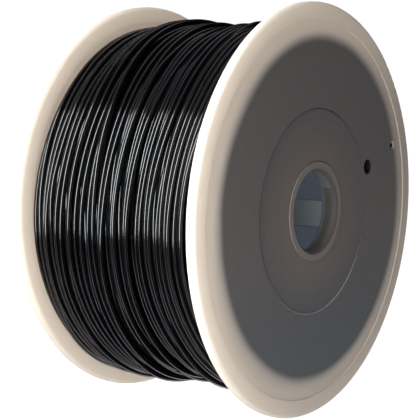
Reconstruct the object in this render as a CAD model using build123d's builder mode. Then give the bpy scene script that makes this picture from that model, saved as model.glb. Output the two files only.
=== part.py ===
from build123d import *
import math
import os

# A full spool of thick printing filament. The spool's axis is Y, the front flange is at -Y, and the
# origin is on the axis, half way between the two flanges. Millimetres.

# ---- driving dimensions ----
flange_radius = 116.0          # outside of both flanges
spool_width = 122.0            # from the front rim's outer face to the rear rim's
rim_width = 9.9                # radial width of the thick rim bead
rim_thickness = 5.6            # the rim bead, along the axis
rim_proud = 0.7                # how far the rim's outer face stands out from the plate
rim_rounding = 2.3             # rounding of the rim's two outer edges
plate_thickness = 3.0          # the flat plate inside the rim
recess_depth = 0.6             # shallow step in the plate's outer face, over the drum

drum_radius = 57.4             # the surface that the filament is wound on
drum_wall = 3.0
seat_depth = 0.9               # how far the drum's ends sit into each plate

bore_radius = 22.4             # the spindle bore through both hub halves
collar_wall = 2.8
collar_length = 10.4           # from the mouth to the collar's inner end
mouth_rounding = 2.1
lead_in_depth = 1.4            # flare at the collar's inner end, radial
lead_in_length = 3.0           # and along the axis
lip_width = 2.7                # snap lip round the mouth, outside the collar
lip_thickness = 1.3
shoulder_width = 6.5           # ring that bears on the plate's inner face
shoulder_thickness = 2.3

tongue_thickness = 2.5
tongue_sweep = 34.0            # degrees of arc that each tongue takes
tongue_angle_rear = -11.4      # degrees from +X towards +Z, the rear half's first tongue
tongues_per_half = 2
tongue_tip_gap = 0.8           # from a tongue's tip to the other half's shoulder
hook_height = 1.1              # the nub at a tongue's tip
hook_length = 2.1
hook_from_end = 2.3            # from the collar's inner end to the nub

strand_diameter = 2.85
winding_gap = 11.6             # from the winding's mean surface up to the flange's edge
winding_front_fall = 5.2       # how far the winding falls off where it meets the front flange
anchor_angle = 19.3            # degrees, the line that both anchor holes lie on
start_hole_radius = 4.3        # hole for the strand's first end, beside the drum
end_hole_radius = 2.6          # hole for its last end, near the winding's surface
start_hole_rise = 5.4          # from the drum's surface to the hole's centre
end_hole_drop = 3.1            # from the winding's edge to the hole's centre
end_inset = 0.6                # the strand's cut ends stop this far inside the plate

slip_gap = 0.2                 # radial clearance between moulded pieces
seat_gap = 0.05                # clearance between faces that bear on each other
hook_gap = 0.2                 # round the hooks, along the axis
match_margin = 0.01            # how closely an edge's radius is matched

# ---- places worked out from them ----
half_width = spool_width / 2
plate_outer = half_width - rim_proud
plate_inner = plate_outer - plate_thickness
rim_inner_radius = flange_radius - rim_width

collar_radius = bore_radius + collar_wall
collar_end = plate_outer - collar_length
lip_radius = collar_radius + lip_width
shoulder_outer = plate_inner - seat_gap
shoulder_inner = shoulder_outer - shoulder_thickness

tongue_inner = collar_radius + slip_gap
tongue_tip = shoulder_inner - tongue_tip_gap
hook_near = collar_end + hook_from_end
hook_far = hook_near + hook_length

drum_end = plate_inner + seat_depth - seat_gap
winding_inner = drum_radius + seat_gap
winding_half = plate_inner - 2 * seat_gap
winding_radius = flange_radius - winding_gap

start_hole_at = drum_radius + start_hole_rise
winding_front_edge = winding_radius - winding_front_fall
end_hole_at = winding_front_edge - end_hole_drop

# The winding's outline from the front plate to the rear one: the share of its half length, and the
# height over the mean radius. It falls off at the front and has its hump in the rear half.
winding_outline = [
    (-1.00, -winding_front_fall),
    (-0.86, -1.9),
    (-0.61, 0.1),
    (-0.36, 0.6),
    (-0.14, -0.5),
    (0.10, 0.5),
    (0.37, 2.8),
    (0.70, 1.0),
    (1.00, -0.9),
]

os.makedirs("parts", exist_ok=True)


def on_face(radius, angle, y, outwards):
    """A plane across the spool's axis, at a radius and an angle, facing along +Y or -Y."""
    turn = math.radians(angle)
    return Plane(
        origin=(radius * math.cos(turn), y, radius * math.sin(turn)),
        x_dir=(math.cos(turn), 0, math.sin(turn)),
        z_dir=(0, outwards, 0),
    )


def half_section(angle):
    """The half plane through the axis at an angle: its x is the radius and its y is the spool's Y."""
    turn = math.radians(angle)
    return Plane(
        origin=(0, 0, 0),
        x_dir=(math.cos(turn), 0, math.sin(turn)),
        z_dir=(-math.sin(turn), 0, math.cos(turn)),
    )


# ---- front flange: a plate with a rounded rim bead, a drum seat and two anchor holes ----
with BuildPart() as front_flange:
    with BuildSketch(Plane.XY):
        with Locations((0, -plate_outer)):
            Rectangle(rim_inner_radius, plate_thickness, align=(Align.MIN, Align.MIN))
        with Locations((rim_inner_radius, -half_width)):
            Rectangle(rim_width, rim_thickness, align=(Align.MIN, Align.MIN))
        # the shallow recess in the outer face, over the drum
        with Locations((0, -plate_outer)):
            Rectangle(
                drum_radius + slip_gap, recess_depth,
                align=(Align.MIN, Align.MIN), mode=Mode.SUBTRACT,
            )
        # the channel that the drum's end sits in
        with Locations((drum_radius - drum_wall - slip_gap, -plate_inner - seat_depth)):
            Rectangle(
                drum_wall + 2 * slip_gap, seat_depth,
                align=(Align.MIN, Align.MIN), mode=Mode.SUBTRACT,
            )
        # the hole for the hub, and the counterbore for its snap lip
        with Locations((0, -plate_outer)):
            Rectangle(
                collar_radius + slip_gap, plate_thickness,
                align=(Align.MIN, Align.MIN), mode=Mode.SUBTRACT,
            )
            Rectangle(
                lip_radius + slip_gap, lip_thickness + seat_gap,
                align=(Align.MIN, Align.MIN), mode=Mode.SUBTRACT,
            )
    revolve(axis=Axis.Y)
    rim_edges = front_flange.edges().filter_by(
        lambda edge: edge.geom_type == GeomType.CIRCLE and abs(edge.radius - flange_radius) < match_margin
    )
    fillet(rim_edges, rim_rounding)
    with Locations(on_face(start_hole_at, anchor_angle, -plate_outer, -1)):
        Hole(start_hole_radius)
    with Locations(on_face(end_hole_at, anchor_angle, -plate_outer, -1)):
        Hole(end_hole_radius)
front_flange.part.label = "front_flange"
export_step(front_flange.part, "parts/front_flange.step")

# ---- rear flange: the same moulding, turned about the vertical ----
with BuildPart() as rear_flange:
    add(front_flange.part, rotation=(0, 0, 180))
rear_flange.part.label = "rear_flange"
export_step(rear_flange.part, "parts/rear_flange.step")

# ---- drum: the tube that the filament is wound on, held in both seats ----
with BuildPart() as drum:
    with BuildSketch(Plane.XZ.offset(-drum_end)):
        Circle(drum_radius)
        Circle(drum_radius - drum_wall, mode=Mode.SUBTRACT)
    extrude(amount=2 * drum_end)
drum.part.label = "drum"
export_step(drum.part, "parts/drum.step")

# ---- front hub half: collar, snap lip, shoulder, and tongues that hook over the rear collar ----
front_tongue_angle = tongue_angle_rear + 90
with BuildPart() as front_hub:
    with BuildSketch(Plane.XY):
        with Locations((bore_radius, -plate_outer)):
            Rectangle(collar_wall, collar_length, align=(Align.MIN, Align.MIN))
        with Locations((collar_radius, -plate_outer)):
            Rectangle(lip_width, lip_thickness, align=(Align.MIN, Align.MIN))
        with Locations((collar_radius, -shoulder_outer)):
            Rectangle(shoulder_width, shoulder_thickness, align=(Align.MIN, Align.MIN))
        # the groove that the other half's hooks catch in
        with Locations((collar_radius - hook_height, -hook_far - hook_gap)):
            Rectangle(
                hook_height, hook_length + 2 * hook_gap,
                align=(Align.MIN, Align.MIN), mode=Mode.SUBTRACT,
            )
        # the lead-in at the collar's inner end
        Polygon(
            (bore_radius, -collar_end - lead_in_length),
            (bore_radius, -collar_end),
            (bore_radius + lead_in_depth, -collar_end),
            align=None, mode=Mode.SUBTRACT,
        )
    revolve(axis=Axis.Y)
    mouth_edge = front_hub.edges().filter_by(
        lambda edge: edge.geom_type == GeomType.CIRCLE and abs(edge.radius - bore_radius) < match_margin
    ).sort_by(Axis.Y)[0]
    fillet(mouth_edge, mouth_rounding)
    for count in range(tongues_per_half):
        start_angle = front_tongue_angle + tongue_sweep / 2 + count * 360 / tongues_per_half
        with BuildSketch(half_section(start_angle)):
            with Locations((tongue_inner, -shoulder_inner)):
                Rectangle(
                    tongue_thickness, shoulder_inner + tongue_tip, align=(Align.MIN, Align.MIN)
                )
            with Locations((tongue_inner, hook_near)):
                Rectangle(hook_height, hook_length, align=(Align.MAX, Align.MIN))
        revolve(axis=Axis.Y, revolution_arc=tongue_sweep)
front_hub.part.label = "front_hub"
export_step(front_hub.part, "parts/front_hub.step")

# ---- rear hub half: the same moulding, turned to face the front one ----
# Turned about the vertical, a tongue at angle a comes to 180 - a; the rest is a turn about the axis.
rear_turn = (180 - front_tongue_angle) - tongue_angle_rear
with BuildPart() as rear_hub:
    add(front_hub.part.rotate(Axis.Z, 180).rotate(Axis.Y, rear_turn))
rear_hub.part.label = "rear_hub"
export_step(rear_hub.part, "parts/rear_hub.step")

# ---- filament winding: the closed outer shape of all the turns on the drum ----
with BuildPart() as filament_winding:
    with BuildSketch(Plane.XY):
        with BuildLine():
            surface = [
                (winding_radius + height, share * winding_half) for share, height in winding_outline
            ]
            outline = Spline(*surface)
            Polyline(
                outline @ 1, (winding_inner, winding_half), (winding_inner, -winding_half), outline @ 0
            )
        make_face()
    revolve(axis=Axis.Y)
filament_winding.part.label = "filament_winding"
export_step(filament_winding.part, "parts/filament_winding.step")

# ---- the strand's two ends, each held in its anchor hole in the front flange ----
strand_radius = strand_diameter / 2
end_stub = plate_outer - end_inset - winding_half

with BuildPart() as filament_start:
    start_at = start_hole_at - start_hole_radius + strand_radius + slip_gap
    with BuildSketch(on_face(start_at, anchor_angle, -winding_half, -1)):
        Circle(strand_radius)
    extrude(amount=end_stub)
filament_start.part.label = "filament_start"
export_step(filament_start.part, "parts/filament_start.step")

with BuildPart() as filament_end:
    with BuildSketch(on_face(end_hole_at, anchor_angle, -winding_half, -1)):
        Circle(strand_radius)
    extrude(amount=end_stub)
filament_end.part.label = "filament_end"
export_step(filament_end.part, "parts/filament_end.step")

winding_volume = filament_winding.part.volume
strand_area = math.pi * strand_radius**2
print("winding volume, cm3:", round(winding_volume / 1000, 1))
print("strand section, mm2:", round(strand_area, 3))
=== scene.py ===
import math

import bpy
import numpy as np
from mathutils import Matrix, Vector


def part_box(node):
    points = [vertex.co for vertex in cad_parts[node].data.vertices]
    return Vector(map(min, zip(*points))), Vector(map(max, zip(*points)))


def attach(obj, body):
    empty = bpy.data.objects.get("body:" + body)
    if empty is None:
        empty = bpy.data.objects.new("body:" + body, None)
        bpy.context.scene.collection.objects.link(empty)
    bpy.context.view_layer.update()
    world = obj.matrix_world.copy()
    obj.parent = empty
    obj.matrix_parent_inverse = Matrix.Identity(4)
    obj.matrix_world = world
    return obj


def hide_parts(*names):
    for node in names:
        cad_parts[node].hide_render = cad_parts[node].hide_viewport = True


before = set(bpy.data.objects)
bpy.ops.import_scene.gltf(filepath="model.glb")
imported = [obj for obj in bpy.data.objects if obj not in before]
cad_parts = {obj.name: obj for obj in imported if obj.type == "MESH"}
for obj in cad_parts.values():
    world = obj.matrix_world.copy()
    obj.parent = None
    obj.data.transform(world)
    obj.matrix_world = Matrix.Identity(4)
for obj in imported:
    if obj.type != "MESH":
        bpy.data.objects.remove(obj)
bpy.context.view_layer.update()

# A full filament spool standing on its rims. Metres; the spool's axis is Y, the front flange is at -Y.

MM = 0.001

# ---- sizes taken from the CAD frame ----
DRUM_GAP = 0.1 * MM            # between the drum and the winding's dark body
START_HOLE_OFF = 2.675 * MM    # the first strand end lies this far inwards of its hole's middle

start_low, start_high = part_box("filament_start")
end_low, end_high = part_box("filament_end")
FLANGE_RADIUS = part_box("front_flange")[1].x
WINDING_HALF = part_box("filament_winding")[1].y
DRUM_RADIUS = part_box("drum")[1].x + DRUM_GAP
STRAND_DIAMETER = end_high.x - end_low.x
STRAND_RADIUS = STRAND_DIAMETER / 2
END_X = (end_low.x + end_high.x) / 2
END_Z = (end_low.z + end_high.z) / 2
START_STUB = Vector((start_low.x + start_high.x, 0, start_low.z + start_high.z)) / 2
START_X, _, START_Z = START_STUB * (1 + START_HOLE_OFF / START_STUB.length)

# ---- camera ----
CAMERA_AZIMUTH = -54.0         # degrees, 0 looks along +Y
CAMERA_ELEVATION = 7.5
CAMERA_DISTANCE = 5.74         # in flange radii, from the aim point
AIM_RIGHT = -0.0933            # the aim point off the spool's middle, in flange radii
AIM_UP = -0.0321
CAMERA_LENS = 96.545
CAMERA_SENSOR = 36.0


def add_camera():
    """The camera stands upright: its back, right and up vectors come from the azimuth and the elevation,
    and its place is the aim point plus the distance along the back vector."""
    azimuth = math.radians(CAMERA_AZIMUTH)
    elevation = math.radians(CAMERA_ELEVATION)
    right = Vector((math.cos(azimuth), math.sin(azimuth), 0))
    back = Vector((
        math.sin(azimuth) * math.cos(elevation),
        -math.cos(azimuth) * math.cos(elevation),
        math.sin(elevation),
    ))
    up = back.cross(right)
    place = FLANGE_RADIUS * (AIM_RIGHT * right + AIM_UP * up + CAMERA_DISTANCE * back)
    turn = Matrix((right, up, back)).transposed()
    data = bpy.data.cameras.new("camera")
    data.lens = CAMERA_LENS
    data.sensor_width = CAMERA_SENSOR
    data.clip_start = 0.01
    camera = bpy.data.objects.new("camera", data)
    camera.matrix_world = Matrix.Translation(place) @ turn.to_4x4()
    bpy.context.scene.collection.objects.link(camera)
    bpy.context.scene.camera = camera


add_camera()


# ---- shader nodes ----
class Wire:
    """A socket of a shader tree. Arithmetic on a wire adds Math nodes to the tree."""

    def __init__(self, bench, socket):
        self.bench = bench
        self.socket = socket

    def _math(self, operation, *values):
        return self.bench.node("ShaderNodeMath", {"operation": operation}, dict(enumerate(values)))

    def __add__(self, other):
        return self._math("ADD", self, other)

    __radd__ = __add__

    def __sub__(self, other):
        return self._math("SUBTRACT", self, other)

    def __rsub__(self, other):
        return self._math("SUBTRACT", other, self)

    def __mul__(self, other):
        return self._math("MULTIPLY", self, other)

    __rmul__ = __mul__

    def __truediv__(self, other):
        return self._math("DIVIDE", self, other)

    def __pow__(self, other):
        return self._math("POWER", self, other)

    def size(self):
        return self._math("ABSOLUTE", self)


class Bench:
    """One node tree being built, with a single method that adds any node."""

    def __init__(self, tree):
        self.tree = tree
        tree.nodes.clear()

    def node(self, kind, settings=None, inputs=None, output=0):
        """Adds a node of a type, sets its settings, then its sockets from values or wires, and gives
        back the wire of one output."""
        made = self.tree.nodes.new(kind)
        for name, value in (settings or {}).items():
            setattr(made, name, value)
        for name, value in (inputs or {}).items():
            if isinstance(value, Wire):
                self.tree.links.new(value.socket, made.inputs[name])
            else:
                made.inputs[name].default_value = value
        return Wire(self, made.outputs[output])

    def places(self):
        """The x, y and z wires of the piece's own coordinates, in metres, and the vector itself."""
        spot = self.node("ShaderNodeTexCoord", output="Object")
        return (spot, *self.parts(spot))

    def parts(self, vector):
        """The x, y and z wires of a vector."""
        split = self.node("ShaderNodeSeparateXYZ", inputs={0: vector})
        return [Wire(self, out) for out in split.socket.node.outputs]

    def length(self, *parts):
        """Square root of the sum of the squares."""
        total = parts[0] * parts[0]
        for part in parts[1:]:
            total = total + part * part
        return total ** 0.5

    def ramp(self, value, low, high, start=0.0, end=1.0):
        """A value carried smoothly from low..high to start..end and held outside."""
        return self.node(
            "ShaderNodeMapRange", {"interpolation_type": "SMOOTHSTEP"},
            {"Value": value, "From Min": low, "From Max": high, "To Min": start, "To Max": end},
        )

    def within(self, distance, near, far):
        """One out to the near distance, going over smoothly to nothing at the far one."""
        return 1 - self.ramp(distance, near, far)

    def noise(self, spot, scale, detail=3.0, roughness=0.5):
        """Smooth random values from 0 to 1, this many to the metre."""
        return self.node(
            "ShaderNodeTexNoise", {},
            {"Vector": spot, "Scale": scale, "Detail": detail, "Roughness": roughness},
        )

    def stretched(self, spot, scale):
        """The coordinates multiplied by a scale along each axis."""
        return self.node("ShaderNodeMapping", {}, {"Vector": spot, "Scale": scale})

    def mix(self, factor, first, second):
        """A colour between two colours."""
        return self.node(
            "ShaderNodeMix", {"data_type": "RGBA"}, {0: factor, 6: first, 7: second}, output=2
        )

    def bump(self, height, depth, strength):
        """Normals of a small relief of this depth."""
        return self.node("ShaderNodeBump", {}, {"Height": height, "Distance": depth, "Strength": strength})

    def finish(self, shader, kind="ShaderNodeOutputMaterial"):
        """Joins the last shader to the tree's output."""
        output = self.tree.nodes.new(kind)
        self.tree.links.new(shader.socket, output.inputs["Surface"])


def new_material(name):
    material = bpy.data.materials.new(name)
    material.use_nodes = True
    return material, Bench(material.node_tree)


def rgb(red, green, blue):
    return (red, green, blue, 1.0)


# ---- materials ----
MIDDLE_HALF = 0.3, 0.7         # most of a noise's values lie between these
PLASTIC_IOR = 1.49
RELIEF_STRENGTH = 0.5

# frosted plates: pairs are where a change starts and where it is complete
PLATE_CLOUDS = 14.0            # patches to the metre
PLATE_GRAIN = 900.0
FLOW_RINGS = 420.0
ZONE_RADIUS = 96.9 * MM        # the plate is dark where the winding lies against it, out to here
ZONE_SOFT = 4.1 * MM           # and goes over to cream through this distance on each side
# painted light: the dark zone's middle is moved right and a little up, so more cream shows on its left and
# bottom
ZONE_SHIFT_X = 3.5 * MM
ZONE_SHIFT_Z = 0.4 * MM
ZONE_WANDER = 4.0 * MM
OUTER_SIDE = 57.6 * MM, 59.2 * MM  # distance from the spool's middle plane
THROUGH = 94.0 * MM, 98.0 * MM     # inside this radius the plate is dark through its whole thickness
MIDDLE_PLANE = -1 * MM, 1 * MM
END_WALL = 2.7 * MM, 2.9 * MM      # the last strand end's hole, from its middle
# painted light: past this radius the end hole's wall is painted cream and translucent, as if lit
END_WALL_PAINTED_LIGHT = 95.6 * MM, 97.4 * MM
START_WALL = 4.4 * MM, 4.6 * MM
HUB_BROWN = 27.0 * MM, 52.0 * MM
HUB_WANDER = 10 * MM
BETWEEN_PLATES = -10 * MM, 10 * MM
# painted light: the front plate's cream is painted lighter on its left, the rear plate's on its right
CREAM_PAINTED_LIGHT_LEAN = 0.45              # how much lighter one side of a plate is than the other
CREAM_CLOUD = 0.35
CREAM_DARK = rgb(0.50, 0.455, 0.41)
CREAM_LIGHT = rgb(0.74, 0.69, 0.63)
RIM_STEP = 106.1 * MM          # radius of the step from the plate up to the rim bead
# painted shade: the cream is painted darker along the rim step
RIM_STEP_EDGE = 0.12 * MM, 0.5 * MM
RIM_STEP_SHARE = 0.4
RIM_STEP_PAINTED_SHADE = rgb(0.40, 0.365, 0.33)
ZONE_GREY = rgb(0.119, 0.109, 0.109)
ZONE_BROWN = rgb(0.148, 0.126, 0.112)
# painted light: the dark zone is painted bluer under the axis
ZONE_BLUE = rgb(0.096, 0.102, 0.110)
ZONE_BLUE_DEPTH = 5 * MM, 80 * MM      # under the axis
RING_SPREAD = 0.3, 0.75
RING_SHARE = 0.16
RING_TINT = rgb(0.17, 0.155, 0.145)
RECESS_STEP = 57.6 * MM        # radius of the step over the drum
RECESS_STEP_EDGE = 0.15 * MM, 0.6 * MM
# painted light and shade: the recess step is painted light along its bottom and dark elsewhere
STEP_LIGHT_HEIGHT = -56 * MM, -20 * MM     # the step is light at its bottom only
RECESS_PAINTED_SHADE = rgb(0.060, 0.058, 0.060)
RECESS_PAINTED_LIGHT = rgb(0.22, 0.21, 0.215)
# painted shade: colour of the start hole's wall
START_HOLE_PAINTED_SHADE = rgb(0.02, 0.018, 0.018)
TRANSLUCENT_CREAM = rgb(0.86, 0.79, 0.71)
TRANSLUCENT_SHARE = 0.5
PLATE_ROUGHNESS = 0.44, 0.58
PLATE_RELIEF = 0.05 * MM
GRAIN_RELIEF = 0.7             # of the grain and of the flow rings in that relief
RING_RELIEF = 0.5


def frosted_plastic():
    """Frosted plastic plate: cream where it stands free, dark where the black winding shows through its
    outer side, a little brown round the hub, with moulded grain and faint flow rings."""
    material, bench = new_material("frosted_plastic")
    spot, x, y, z = bench.places()
    radius = bench.length(x, z)
    cloud = bench.noise(spot, PLATE_CLOUDS, detail=2.0)
    drift = cloud - 0.5
    fine = bench.noise(spot, PLATE_GRAIN, detail=4.0, roughness=0.6)
    flow = bench.node("ShaderNodeCombineXYZ", {}, {0: radius, 2: y})
    rings = bench.noise(flow, FLOW_RINGS)

    # where the plate is dark
    # painted light: the dark zone is measured from a middle moved right and up
    shifted = bench.length(x - ZONE_SHIFT_X, z - ZONE_SHIFT_Z)
    edge = shifted + drift * ZONE_WANDER
    covered = bench.within(edge, ZONE_RADIUS - ZONE_SOFT, ZONE_RADIUS + ZONE_SOFT)
    outer_side = bench.ramp(y.size(), *OUTER_SIDE)
    covered = covered * (outer_side + (1 - outer_side) * bench.within(radius, *THROUGH))

    # each plate's own two holes: the rear plate is turned round, so its x runs the other way
    own_x = x * bench.ramp(y, *MIDDLE_PLANE, 1.0, -1.0)
    end_wall = bench.within(bench.length(own_x - END_X, z - END_Z), *END_WALL)
    # painted light: the end hole's wall near the rim is painted cream
    covered = covered * (1 - end_wall * bench.ramp(radius, *END_WALL_PAINTED_LIGHT))
    start_wall = bench.within(bench.length(own_x - START_X, z - START_Z), *START_WALL)

    # painted light: one side of each plate's cream is painted lighter than the other
    lean = bench.ramp(y, *BETWEEN_PLATES, -CREAM_PAINTED_LIGHT_LEAN, CREAM_PAINTED_LIGHT_LEAN) * x / FLANGE_RADIUS
    cream = bench.mix(0.5 + lean - drift * CREAM_CLOUD, CREAM_DARK, CREAM_LIGHT)
    # painted shade in the rim step
    rim_step_shade = bench.within((radius - RIM_STEP).size(), *RIM_STEP_EDGE)
    cream = bench.mix(rim_step_shade * RIM_STEP_SHARE, cream, RIM_STEP_PAINTED_SHADE)

    # painted light: the zone is painted bluer under the axis
    zone = bench.mix(bench.ramp(-1 * z, *ZONE_BLUE_DEPTH), ZONE_GREY, ZONE_BLUE)
    zone = bench.mix(bench.within(radius + drift * HUB_WANDER, *HUB_BROWN), zone, ZONE_BROWN)
    zone = bench.mix(bench.ramp(rings, *RING_SPREAD, 0.0, RING_SHARE), zone, RING_TINT)
    # painted light and shade on the recess step: light at its bottom, dark elsewhere
    recess_step = bench.within((radius - RECESS_STEP).size(), *RECESS_STEP_EDGE)
    recess_painted_light_and_shade = bench.mix(bench.ramp(z, *STEP_LIGHT_HEIGHT), RECESS_PAINTED_LIGHT, RECESS_PAINTED_SHADE)
    zone = bench.mix(recess_step, zone, recess_painted_light_and_shade)
    # painted shade: the start hole's wall is painted near black
    zone = bench.mix(start_wall, zone, START_HOLE_PAINTED_SHADE)

    skin = bench.node("ShaderNodeBsdfPrincipled", {}, {
        "Base Color": bench.mix(covered, cream, zone),
        "Roughness": bench.ramp(fine, *MIDDLE_HALF, *PLATE_ROUGHNESS),
        "IOR": PLASTIC_IOR,
        "Specular IOR Level": 0.35,
        "Normal": bench.bump(
            fine * GRAIN_RELIEF + rings * RING_RELIEF, PLATE_RELIEF, RELIEF_STRENGTH),
    })
    glow = bench.node("ShaderNodeBsdfTranslucent", {}, {"Color": TRANSLUCENT_CREAM})
    share = (1 - covered) * TRANSLUCENT_SHARE
    bench.finish(bench.node("ShaderNodeMixShader", {}, {0: share, 1: skin, 2: glow}))
    return material


# hub halves: heights are distances from the middle of the spool along its axis
HUB_GRAIN = 1100.0
HUB_CLOUDS = 60.0
HUB_DRAW_MARKS = 700.0
ALONG_AXIS = 1.0, 0.08, 1.0    # stretches marks along the axis
COLLAR_COLOURS = rgb(0.062, 0.056, 0.050), rgb(0.074, 0.067, 0.060)
# painted light: the collar is painted lighter above a sloping line along the axis
UPPER_SLOPE = 0.58             # rise over run of the line over which the collar is lighter
UPPER_EDGE = -0.5 * MM, 0.5 * MM
UPPER_PAINTED_LIGHT = rgb(0.110, 0.112, 0.110)
MOUTH_EDGE = 23.6 * MM, 25.0 * MM      # radius where the rounded mouth meets the outer face
# painted shade: the mouth's rounding, which faces the lamps, is painted darker
ROUNDING_HEIGHT = 58.0 * MM, 58.5 * MM
ROUNDING_PAINTED_SHADE = rgb(0.052, 0.047, 0.043)
FACE_HEIGHT = 58.6 * MM, 59.8 * MM
FACE_COLOUR = rgb(0.155, 0.137, 0.127)
LEAD_IN_HEIGHT = 52.4 * MM, 53.4 * MM
LEAD_IN_COLOUR = rgb(0.13, 0.16, 0.175)
INSIDE_HEIGHT = 48.4 * MM, 49.3 * MM   # inwards of this are the tongues
SIDE_FACE = 25.6 * MM, 26.2 * MM       # radius past which a tongue's surface is its side
# painted light: the hub glows faintly outside and more on its tongues inside, for light coming through the
# plastic
GLOW_OUTSIDE = rgb(0.012, 0.012, 0.012)
GLOW_TONGUE = rgb(0.040, 0.045, 0.048)
GLOW_TONGUE_SIDE = rgb(0.022, 0.026, 0.029)
HUB_ROUGHNESS = 0.5, 0.64
HUB_RELIEF = 0.04 * MM
HUB_MARKS = 0.6                # of the grain and of the draw marks in that relief


def hub_plastic():
    """Frosted bluish plastic of the two hub halves, lighter on the outer face round the mouth and on the
    lead-in, with painted shade on the mouth's rounding, painted light on the collar's upper side and a
    painted glow, most on the tongues inside.
    """
    material, bench = new_material("hub_plastic")
    spot, x, y, z = bench.places()
    radius = bench.length(x, z)
    height = y.size()
    fine = bench.noise(spot, HUB_GRAIN, detail=4.0, roughness=0.6)
    cloud = bench.noise(spot, HUB_CLOUDS, detail=2.0)
    drawn = bench.noise(bench.stretched(spot, ALONG_AXIS), HUB_DRAW_MARKS, detail=2.0)
    past_mouth = bench.ramp(radius, *MOUTH_EDGE)

    colour = bench.mix(bench.ramp(cloud, *MIDDLE_HALF), *COLLAR_COLOURS)
    # painted light on the collar's upper side
    colour = bench.mix(bench.ramp(z - UPPER_SLOPE * x, *UPPER_EDGE), colour, UPPER_PAINTED_LIGHT)
    # painted shade on the mouth's rounding
    rounding = bench.ramp(height, *ROUNDING_HEIGHT) * (1 - past_mouth)
    colour = bench.mix(rounding, colour, ROUNDING_PAINTED_SHADE)
    colour = bench.mix(bench.ramp(height, *FACE_HEIGHT) * past_mouth, colour, FACE_COLOUR)
    colour = bench.mix(bench.ramp(height, *LEAD_IN_HEIGHT), LEAD_IN_COLOUR, colour)
    tongue = bench.mix(bench.ramp(radius, *SIDE_FACE), GLOW_TONGUE, GLOW_TONGUE_SIDE)
    bench.finish(bench.node("ShaderNodeBsdfPrincipled", {}, {
        "Base Color": colour,
        "Roughness": bench.ramp(fine, *MIDDLE_HALF, *HUB_ROUGHNESS),
        "IOR": PLASTIC_IOR,
        "Specular IOR Level": 0.25,
        # painted light: a glow for light coming through the plastic
        "Emission Color": bench.mix(bench.within(height, *INSIDE_HEIGHT), GLOW_OUTSIDE, tongue),
        "Emission Strength": 1.0,
        "Normal": bench.bump(
            fine * HUB_MARKS + drawn * HUB_MARKS, HUB_RELIEF, RELIEF_STRENGTH),
    }))
    return material


DRUM_GRAIN = 800.0
DRUM_CLOUDS = 40.0
DRUM_COLOURS = rgb(0.035, 0.045, 0.06), rgb(0.05, 0.06, 0.075)
# painted light: the drum glows faintly, for light coming through the plastic
DRUM_GLOW = rgb(0.041, 0.050, 0.062), rgb(0.048, 0.057, 0.068)
DRUM_ROUGHNESS = 0.45, 0.6
DRUM_RELIEF = 0.04 * MM


def drum_plastic():
    """Plain moulded tube, seen only through the bore: dark, because the winding shows through it, with a
    faint painted glow for light coming through the plastic.
    """
    material, bench = new_material("drum_plastic")
    spot = bench.places()[0]
    fine = bench.noise(spot, DRUM_GRAIN, detail=4.0)
    cloud = bench.noise(spot, DRUM_CLOUDS, detail=2.0)
    bench.finish(bench.node("ShaderNodeBsdfPrincipled", {}, {
        "Base Color": bench.mix(cloud, *DRUM_COLOURS),
        # painted light: a faint glow
        "Emission Color": bench.mix(cloud, *DRUM_GLOW),
        "Emission Strength": 1.0,
        "Roughness": bench.ramp(fine, *MIDDLE_HALF, *DRUM_ROUGHNESS),
        "Normal": bench.bump(fine, DRUM_RELIEF, RELIEF_STRENGTH),
    }))
    return material


# the strand: its marks lie in its own lengthwise and round-about coordinates
MARK_SHAPE = 0.25, 5.0, 1.0
MARK_SIZE = 8.0
PATCH_SHAPE = 1.0, 0.2, 1.0
PATCH_SIZE = 3.0
STRAND_COLOURS = rgb(0.0007, 0.0007, 0.0010), rgb(0.0013, 0.0013, 0.0018)
STRAND_GLOSS_SPREAD = 0.4, 1.1
STRAND_ROUGHNESS = 0.11, 0.18
STRAND_IOR = 1.52
STRAND_RELIEF = 0.01 * MM
STRAND_RELIEF_STRENGTH = 0.3


def strand_plastic():
    """Glossy black extruded strand: long faint draw marks and small changes of gloss along it."""
    material, bench = new_material("filament")
    lay = bench.node("ShaderNodeUVMap", {"uv_map": "strand"})
    long_marks = bench.noise(bench.stretched(lay, MARK_SHAPE), MARK_SIZE)
    patches = bench.noise(bench.stretched(lay, PATCH_SHAPE), PATCH_SIZE, detail=2.0)
    gloss = long_marks + patches * 0.5
    bench.finish(bench.node("ShaderNodeBsdfPrincipled", {}, {
        "Base Color": bench.mix(patches, *STRAND_COLOURS),
        "Roughness": bench.ramp(gloss, *STRAND_GLOSS_SPREAD, *STRAND_ROUGHNESS),
        "IOR": STRAND_IOR,
        "Normal": bench.bump(long_marks, STRAND_RELIEF, STRAND_RELIEF_STRENGTH),
    }))
    return material


CORE_GRAIN = 300.0
CORE_COLOURS = rgb(0.0012, 0.0012, 0.0015), rgb(0.0025, 0.0025, 0.003)
CORE_ROUGHNESS = 0.5, 0.7


def core_plastic():
    """The dark body under the visible turns."""
    material, bench = new_material("filament_core")
    grain = bench.noise(bench.places()[0], CORE_GRAIN)
    bench.finish(bench.node("ShaderNodeBsdfPrincipled", {}, {
        "Base Color": bench.mix(grain, *CORE_COLOURS),
        "Roughness": bench.ramp(grain, *MIDDLE_HALF, *CORE_ROUGHNESS),
    }))
    return material


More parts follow.
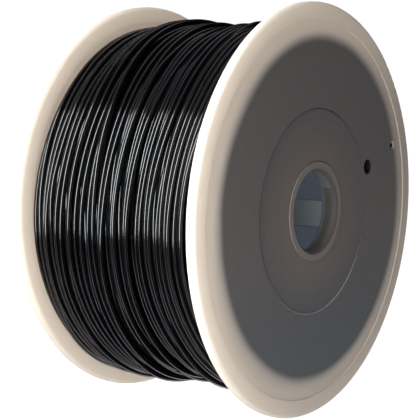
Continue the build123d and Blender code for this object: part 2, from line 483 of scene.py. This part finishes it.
# ---- meshes from arrays ----
def grid_mesh(name, points, close_around, close_along=False, cap_ends=False, uv=None):
    """A surface over a grid of points, shape (along, around, 3): each cell is one face. The grid may close
    round its second index, along its first, and its two end rings may be filled with one face each."""
    along, around = points.shape[:2]
    index = np.arange(along * around).reshape(along, around)
    following = np.roll(index, -1, axis=1) if close_around else index[:, 1:]
    current = index if close_around else index[:, :-1]
    rows = slice(None) if close_along else slice(0, -1)
    next_rows = (lambda a: np.roll(a, -1, axis=0)) if close_along else (lambda a: a[1:])
    quads = np.stack([
        current[rows], following[rows], next_rows(following), next_rows(current),
    ], axis=-1).reshape(-1, 4)
    ends = [index[0][::-1], index[-1]] if cap_ends else []
    corners = np.concatenate([quads.ravel()] + ends).astype(np.int32)
    sizes = np.concatenate([np.full(len(quads), 4), [around] * len(ends)]).astype(np.int32)
    starts = np.concatenate([[0], np.cumsum(sizes)[:-1]]).astype(np.int32)
    mesh = bpy.data.meshes.new(name)
    mesh.vertices.add(along * around)
    mesh.vertices.foreach_set("co", points.reshape(-1).astype(np.float32))
    mesh.loops.add(len(corners))
    mesh.loops.foreach_set("vertex_index", corners)
    mesh.polygons.add(len(sizes))
    mesh.polygons.foreach_set("loop_start", starts)
    mesh.polygons.foreach_set("loop_total", sizes)
    mesh.update(calc_edges=True)
    mesh.polygons.foreach_set("use_smooth", np.ones(len(sizes), bool))
    if uv is not None:
        layer = mesh.uv_layers.new(name="strand")
        layer.data.foreach_set("uv", uv.reshape(-1, 2)[corners].ravel().astype(np.float32))
    mesh.validate()
    made = bpy.data.objects.new(name, mesh)
    bpy.context.scene.collection.objects.link(made)
    return made


def tube(name, path, radius, sides, lengths):
    """A tube round a path: at each point the ring is the point plus the radius times
    (cos a times the outward vector plus sin a times the tangent crossed with it)."""
    tangent = np.gradient(path, axis=0)
    tangent /= np.linalg.norm(tangent, axis=1, keepdims=True)
    outward = path * np.array([1.0, 0.0, 1.0])
    outward -= tangent * np.sum(outward * tangent, axis=1, keepdims=True)
    outward /= np.linalg.norm(outward, axis=1, keepdims=True)
    across = np.cross(tangent, outward)
    angle = np.linspace(0, 2 * np.pi, sides, endpoint=False)
    rings = (
        path[:, None, :]
        + radius * np.cos(angle)[None, :, None] * outward[:, None, :]
        + radius * np.sin(angle)[None, :, None] * across[:, None, :]
    )
    uv = np.stack(np.broadcast_arrays(
        lengths[:, None] * LAY_PER_METRE, np.abs(np.linspace(-1, 1, sides, endpoint=False))[None, :]
    ), axis=-1)
    return grid_mesh(name, rings, close_around=True, cap_ends=True, uv=uv)


# ---- the winding ----
FLANGE_GAP = 0.1 * MM          # between the outermost turns and the flanges
TURNS_PER_LAYER = 35
LAYERS = 3
STEPS_PER_TURN = 192
STRAND_SIDES = 10
LAY_PER_METRE = 100.0          # lengthwise coordinate of the strand's marks
WINDING_SEED = 11
HARMONICS = 4
HARMONIC_FADE = 0.7            # each harmonic is weaker by its number to this power
TOUCH = 0.985                  # turns that lie side by side, in strand diameters
SWAY = 0.60 * MM               # how far a whole group of turns bends to and fro
WIGGLE = 0.48 * MM             # and how far each turn does by itself
GAP_MEMORY = 0.55              # how much each of these is like it was one turn before
SWAY_MEMORY = 0.93
WIGGLE_MEMORY = 0.25
SMOOTH_GAPS = 4.0              # spreads of the running means, in steps along the strand
SMOOTH_LAY = 3.0
SMOOTH_HEIGHT = 2.2
HIGHEST_REACH = 2              # steps
GAP_LEAST = 0.32               # the smallest share of a gap
GAP_BIAS = 0.25                # a higher bias opens more of the gaps
JOG_FROM = 0.68                # part of a turn after which it steps over to its next place
STEADY = 0.35                  # share of the step that is spread over the whole turn
LOOSE_START = 0.06, 0.35, 0.10     # part of a layer wound tight at its start, rise to full gaps, least
LOOSE_END = 1.03, 0.1, 0.1         # the same at its end
END_HOLD = 4                   # a higher power lets whole groups sway nearer to the flanges
CALM_FRONT = 0.95, 0.6, 0.12       # turns by the front flange wander less: start, rise, least
STRAYS = 28                    # places in a layer where one turn strays over its neighbours
STRAY_MOST = 3.6 * MM
STRAY_LEAST_SHARE = 0.2
STRAY_WIDTH = 0.08, 0.24       # in turns
STRAY_PLACE = 0.04, 0.96       # not at a layer's very ends
NEAR_TURNS = 3                 # a turn rests on these last ones only when it lies well over them
NEAR_OVERLAP = 0.80
LAYER_RISE = 0.93 * STRAND_DIAMETER
SETTLE_BINS = 22
SQUEEZE = 1.1 * MM             # tension keeps a turn within about this height of its layer
LIFT = 2.2 * MM                # the winding is this much higher or lower beside the rear flange
LIFT_ANGLE = 168.0
LIFT_STEEPNESS = 2.2
LIFT_FROM = 8.0 * MM
REAR_RISE = 1.2 * MM           # the turns climb a little where they lean on the rear flange
BEND_STEPS = 3                 # the last steps of the path give way to the bend into the hole
BEND_POINTS = 20
BEND_LENGTH = 3.2 * MM         # how firmly the bend keeps to its directions at both ends
OUTER_SHARE = 0.8              # past this share of its radius a point of the ring is on its outside
OUTLINE_BIN = 0.05 * MM        # points this near each other along the axis count as one
CORE_ROWS = 49
CORE_SIDES = 128
CORE_DEPTH = 2.45              # the body's outside under the top turns', in strand diameters


def winding_outline():
    """The outside radius of the wound body against y, read from the CAD solid's own mesh."""
    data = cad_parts["filament_winding"].data
    co = np.zeros(len(data.vertices) * 3, np.float32)
    data.vertices.foreach_get("co", co)
    co = co.reshape(-1, 3)
    radius = np.hypot(co[:, 0], co[:, 2])
    outer = radius > OUTER_SHARE * radius.max()
    order = np.argsort(co[outer, 1])
    y = co[outer, 1][order]
    r = radius[outer][order]
    bins = np.round(y / OUTLINE_BIN).astype(int)
    keys = np.unique(bins)
    return np.array([y[bins == k].mean() for k in keys]), np.array([r[bins == k].max() for k in keys])


def smooth_along(values, spread):
    """Running weighted mean along a line, with bell-shaped weights."""
    reach = int(3 * spread)
    bell = np.exp(-0.5 * (np.arange(-reach, reach + 1) / spread) ** 2)
    padded = np.pad(values, reach, mode="edge")
    return np.convolve(padded, bell / bell.sum(), mode="valid")


def highest_near(values, reach):
    """The greatest value within a reach on both sides."""
    padded = np.pad(values, reach, mode="edge")
    windows = np.lib.stride_tricks.sliding_window_view(padded, 2 * reach + 1)
    return windows.max(axis=1)


def drifting(random, progress, memory):
    """A smooth random line over the turns: harmonics of the angle whose strengths drift from one turn to
    the next, each new strength being the memory times the last one plus a fresh random part."""
    turns = int(progress[-1]) + 3
    fresh = math.sqrt(1 - memory ** 2)
    angle = 2 * np.pi * progress
    total = np.zeros(len(progress))
    for harmonic in range(HARMONICS + 1):
        for phase in (0.0, np.pi / 2):
            strength = random.normal(0, 1, turns)
            for turn in range(1, turns):
                strength[turn] = memory * strength[turn - 1] + fresh * strength[turn]
            smooth = np.interp(progress, np.arange(turns), strength)
            total += smooth * np.cos(harmonic * angle + phase) / (harmonic + 1) ** HARMONIC_FADE
    return total


def eased(place, start, rise, least):
    """A share that grows in a straight line from a start over a rise, kept between the least and one."""
    return np.clip((place - start) / rise, least, 1.0)


def wound_path():
    """Where one strand lies. Along a layer each turn's y is the last turn's plus the strand's diameter
    and a gap that is never negative; the gaps of a layer add up to the room that its turns leave. At a
    flange the strand turns back: the next turn's y is the mirror of the last one's. The radius at each
    step is the highest that the turns under it give, each one its own radius plus the square root of
    the strand's diameter squared less the distance along the axis squared."""
    random = np.random.default_rng(WINDING_SEED)
    turns = TURNS_PER_LAYER * LAYERS
    step = np.arange(turns * STEPS_PER_TURN)
    progress = step / STEPS_PER_TURN
    reach = WINDING_HALF - STRAND_RADIUS - FLANGE_GAP
    spacing = STRAND_DIAMETER * TOUCH
    room = 2 * reach - spacing * (TURNS_PER_LAYER - 1)

    unevenness = drifting(random, progress, GAP_MEMORY)
    gaps = GAP_LEAST + np.tanh(np.maximum(unevenness + GAP_BIAS, 0.0))
    gaps = smooth_along(gaps, SMOOTH_GAPS).reshape(LAYERS, TURNS_PER_LAYER, STEPS_PER_TURN)
    place = np.linspace(0, 1, TURNS_PER_LAYER)
    y_turns = np.zeros((LAYERS, TURNS_PER_LAYER, STEPS_PER_TURN))
    part = np.arange(STEPS_PER_TURN) / STEPS_PER_TURN
    jog = np.clip((part - JOG_FROM) / (1 - JOG_FROM), 0, 1)
    fraction = STEADY * part + (1 - STEADY) * jog * jog * (3 - 2 * jog)
    sign = 1.0 if LAYERS % 2 == 0 else -1.0
    for layer in range(LAYERS):
        along = place if sign > 0 else 1 - place
        loose = eased(along, *LOOSE_START) * eased(-along, -LOOSE_END[0], *LOOSE_END[1:])
        gap = gaps[layer] * loose[:, None]
        gap = gap * (room / gap[:-1].sum(axis=0)).mean()
        travel = np.concatenate([np.zeros((1, STEPS_PER_TURN)), np.cumsum(spacing + gap[:-1], axis=0)])
        travel = travel + fraction[None, :] * (spacing + gap[0, 0])
        travel = travel * (2 * reach / travel[-1, -1])
        y_turns[layer] = sign * (travel - reach)
        sign = -sign
    y = y_turns.reshape(-1)
    middle = np.clip(1 - (y / reach) ** END_HOLD, 0, 1)
    calm = eased(y / reach, -CALM_FRONT[0], *CALM_FRONT[1:])
    y = y + SWAY * middle * drifting(random, progress, SWAY_MEMORY)
    y = y + WIGGLE * calm * drifting(random, progress, WIGGLE_MEMORY)

    # strays: one turn swings over its neighbours for part of its way round
    strayed = np.zeros(len(y))
    for layer in range(LAYERS):
        for _ in range(STRAYS):
            centre = (layer + random.uniform(*STRAY_PLACE)) * TURNS_PER_LAYER
            width = random.uniform(*STRAY_WIDTH)
            far = random.uniform(STRAY_LEAST_SHARE, 1.0) * STRAY_MOST * random.choice([-1, 1])
            strayed += far * np.exp(-0.5 * ((progress - centre) / width) ** 2)
    y = np.clip(y + strayed * calm, -reach, reach)
    y = smooth_along(y, SMOOTH_LAY)

    outline_y, outline_r = winding_outline()
    level = np.interp(y, outline_y, outline_r) - STRAND_RADIUS
    drop = LAYER_RISE * (LAYERS - 1)
    y_turns = y.reshape(turns, STEPS_PER_TURN)
    floor = (level - drop).reshape(turns, STEPS_PER_TURN)
    r_turns = floor.copy()
    for turn in range(1, turns):
        first = max(0, turn - 2 * TURNS_PER_LAYER)
        gap = np.abs(y_turns[first:turn] - y_turns[turn])
        rest = np.where(
            gap < STRAND_DIAMETER,
            r_turns[first:turn] + np.sqrt(np.maximum(STRAND_DIAMETER ** 2 - gap ** 2, 0)),
            0.0,
        )
        near = slice(-NEAR_TURNS, None)
        rest[near] = np.where(gap[near] > STRAND_DIAMETER * NEAR_OVERLAP, 0.0, rest[near])
        r_turns[turn] = np.maximum(floor[turn], rest.max(axis=0))
    r = r_turns.reshape(-1)
    r = smooth_along(highest_near(r, HIGHEST_REACH), SMOOTH_LAY)
    return progress, y, r, level


def settled(y, r, level, layer):
    """The radius after winding tension has pressed each layer flat. In each layer the height over its own
    level has the layer's smooth mean taken off, and what is left is kept within the squeeze by a
    hyperbolic tangent. A layer's level is the wound body's outside less the layers over it."""
    edges = np.linspace(y.min(), y.max(), SETTLE_BINS + 1)
    middles = (edges[1:] + edges[:-1]) / 2
    which = np.clip(np.digitize(y, edges) - 1, 0, SETTLE_BINS - 1)
    own_level = level - LAYER_RISE * (LAYERS - 1 - layer)
    offset = r - own_level
    for count in range(LAYERS):
        here = layer == count
        means = np.array([offset[here & (which == k)].mean() for k in range(SETTLE_BINS)])
        offset[here] -= np.interp(y[here], middles, means)
    return own_level + SQUEEZE * np.tanh(offset / SQUEEZE)


def rear_lift(angle, y):
    """How much higher the winding lies round the lower left of its rear half and lower round the upper
    left: a flattened sine of the angle, growing smoothly towards the rear flange."""
    wave = np.tanh(LIFT_STEEPNESS * np.sin(angle - math.radians(LIFT_ANGLE)))
    share = np.clip((y - LIFT_FROM) / (WINDING_HALF - LIFT_FROM), 0, 1)
    return (LIFT * wave + REAR_RISE) * share * share * (3 - 2 * share)


def bend_into_hole(last, heading):
    """The strand's last bend, from where it leaves the turns to its anchor hole: a cubic curve that
    starts along the strand's heading and ends along the spool's axis."""
    goal = np.array([END_X, -WINDING_HALF, END_Z])
    pull = BEND_LENGTH * heading
    push = BEND_LENGTH * np.array([0.0, 1.0, 0.0])
    t = np.linspace(0, 1, BEND_POINTS)[1:, None]
    return (
        last * (1 - t) ** 3 + 3 * (last + pull) * t * (1 - t) ** 2
        + 3 * (goal + push) * t ** 2 * (1 - t) + goal * t ** 3
    )


def build_winding(material, core_material):
    progress, y, r, level = wound_path()
    anchor = math.atan2(END_Z, END_X)
    angle = anchor + 2 * np.pi * (progress - progress[-1])
    layer = np.floor(progress / TURNS_PER_LAYER)
    r = smooth_along(settled(y, r, level, layer), SMOOTH_HEIGHT) + rear_lift(angle, y)
    path = np.stack([r * np.cos(angle), y, r * np.sin(angle)], axis=1)
    heading = path[-BEND_STEPS] - path[-BEND_STEPS - 1]
    heading /= np.linalg.norm(heading)
    path = np.concatenate([path[:-BEND_STEPS], bend_into_hole(path[-BEND_STEPS - 1], heading)])
    walked = np.concatenate([[0], np.cumsum(np.linalg.norm(np.diff(path, axis=0), axis=1))])
    per_layer = TURNS_PER_LAYER * STEPS_PER_TURN
    for layer in range(LAYERS):
        last = None if layer == LAYERS - 1 else (layer + 1) * per_layer + 1
        part = slice(layer * per_layer, last)
        turns = tube(f"winding_layer_{layer + 1}", path[part], STRAND_RADIUS, STRAND_SIDES, walked[part])
        turns.data.materials.append(material)
        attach(turns, "root")

    # the body under the visible turns
    outline_y, outline_r = winding_outline()
    rows = np.linspace(-WINDING_HALF, WINDING_HALF, CORE_ROWS)
    outer = np.interp(rows, outline_y, outline_r) - STRAND_DIAMETER * CORE_DEPTH
    rows = np.concatenate([rows, rows[::-1]])
    radius = np.concatenate([outer, np.full(CORE_ROWS, DRUM_RADIUS)])
    around = np.linspace(0, 2 * np.pi, CORE_SIDES, endpoint=False)
    points = np.stack([
        radius[:, None] * np.cos(around)[None, :],
        np.broadcast_to(rows[:, None], (len(rows), len(around))),
        radius[:, None] * np.sin(around)[None, :],
    ], axis=-1)
    core = grid_mesh("winding_core", points, close_around=True, close_along=True)
    core.data.materials.append(core_material)
    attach(core, "root")
    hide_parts("filament_winding")


# ---- stage: floor, world and lights ----
FLOOR_SIZE = 0.8               # metres along each side
FLOOR_GRAIN = 30.0
FLOOR_COLOURS = rgb(0.10, 0.10, 0.10), rgb(0.12, 0.12, 0.12)
FLOOR_ROUGHNESS = 0.8, 0.9
FLOOR_SHEEN = 0.1
BACKDROP_STRENGTH = 1.1        # what the camera sees behind the spool
ROOM_COLOUR = rgb(0.95, 0.94, 1.0)
ROOM_DARK = 0.015              # what reflections see away from the strips
FILL_STRENGTH = 0.155
STRIP_EDGE = (0.02, 0.14)      # half width of both strips, as parts of a unit direction
OVERHEAD_RISE = (0.60, 0.90)   # the strip overhead grows to full strength between these heights
OVERHEAD_STRENGTH = 2.5
UNDER_RISE = (0.20, 0.75)
UNDER_STRENGTH = 5.4

SOFTBOX_DISTANCE = 1.1
SOFTBOX_ELEVATION = math.radians(20.0)
SOFTBOX_PLACE = (
    -SOFTBOX_DISTANCE * math.cos(SOFTBOX_ELEVATION), 0, SOFTBOX_DISTANCE * math.sin(SOFTBOX_ELEVATION)
)
# name, place, aim, width, height, watts, colour, and whether reflections show it
LIGHTS = [
    ("left_softbox", SOFTBOX_PLACE, (0, 0, 0), 0.34, 1.50, 37.0, (0.94, 0.98, 1.0), True),
    ("back_top", (-0.72, 0.86, 0.66), (0, 0, 0), 0.7, 0.7, 24.0, (1.0, 0.97, 0.93), False),
    ("left_fill", (-0.50, -0.20, 0.03), (-0.06, -0.06, 0), 0.25, 0.5, 2.0, (1.0, 0.98, 0.96), False),
]


def build_floor():
    """A plain pale floor under the rims: a flat square that glows white, so that it matches what is
    behind the spool."""
    half = FLOOR_SIZE / 2
    z = -FLANGE_RADIUS
    points = np.array([[[-half, -half, z], [half, -half, z]], [[-half, half, z], [half, half, z]]])
    floor = grid_mesh("floor", points, close_around=False)
    material, bench = new_material("pale_floor")
    grain = bench.noise(bench.places()[0], FLOOR_GRAIN)
    skin = bench.node("ShaderNodeBsdfPrincipled", {}, {
        "Base Color": bench.mix(grain, *FLOOR_COLOURS),
        "Roughness": bench.ramp(grain, *MIDDLE_HALF, *FLOOR_ROUGHNESS),
        "Specular IOR Level": FLOOR_SHEEN,
        "Emission Color": rgb(1.0, 1.0, 1.0),
        "Emission Strength": 1.0,
    })
    bench.finish(skin)
    floor.data.materials.append(material)
    floor.visible_glossy = False


def build_world():
    """A studio round the object: white behind it, dim fill light, and in its reflections a dark room with
    one narrow pale strip overhead and one below."""
    world = bpy.data.worlds.new("studio")
    world.use_nodes = True
    bpy.context.scene.world = world
    bench = Bench(world.node_tree)
    camera = bench.node("ShaderNodeLightPath", output="Is Camera Ray")
    glossy = bench.node("ShaderNodeLightPath", output="Is Glossy Ray")
    x, y, z = bench.parts(bench.node("ShaderNodeTexCoord", output="Generated"))
    strip = bench.within(y.size(), *STRIP_EDGE)
    over = bench.ramp(z, *OVERHEAD_RISE) * OVERHEAD_STRENGTH
    under = bench.ramp(-1 * z, *UNDER_RISE) * UNDER_STRENGTH
    mirrored = ROOM_DARK + strip * (over + under)
    fill = FILL_STRENGTH * (1 - glossy) + glossy * mirrored
    strength = camera * BACKDROP_STRENGTH + (1 - camera) * fill
    light = bench.node("ShaderNodeBackground", {}, {"Color": ROOM_COLOUR, "Strength": strength})
    bench.finish(light, "ShaderNodeOutputWorld")


def soft_light(name, place, aim, width, height, watts, colour, mirrored):
    """A rectangular lamp that faces its aim point."""
    data = bpy.data.lights.new(name, "AREA")
    data.shape = "RECTANGLE"
    data.size = width
    data.size_y = height
    data.energy = watts
    data.color = colour
    lamp = bpy.data.objects.new(name, data)
    lamp.location = place
    direction = Vector(aim) - Vector(place)
    lamp.rotation_euler = direction.to_track_quat("-Z", "Y").to_euler()
    lamp.visible_glossy = mirrored
    bpy.context.scene.collection.objects.link(lamp)


scene = bpy.context.scene
scene.view_settings.view_transform = "Standard"
build_world()
build_floor()
for light in LIGHTS:
    soft_light(*light)

strand = strand_plastic()
frosted = frosted_plastic()
hub = hub_plastic()
drum = drum_plastic()
core = core_plastic()
node_finish = {
    "front_flange": frosted,
    "rear_flange": frosted,
    "drum": drum,
    "front_hub": hub,
    "rear_hub": hub,
    "filament_start": strand,
    "filament_end": strand,
}
for name, material in node_finish.items():
    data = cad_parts[name].data
    data.materials.clear()
    data.materials.append(material)
build_winding(strand, core)
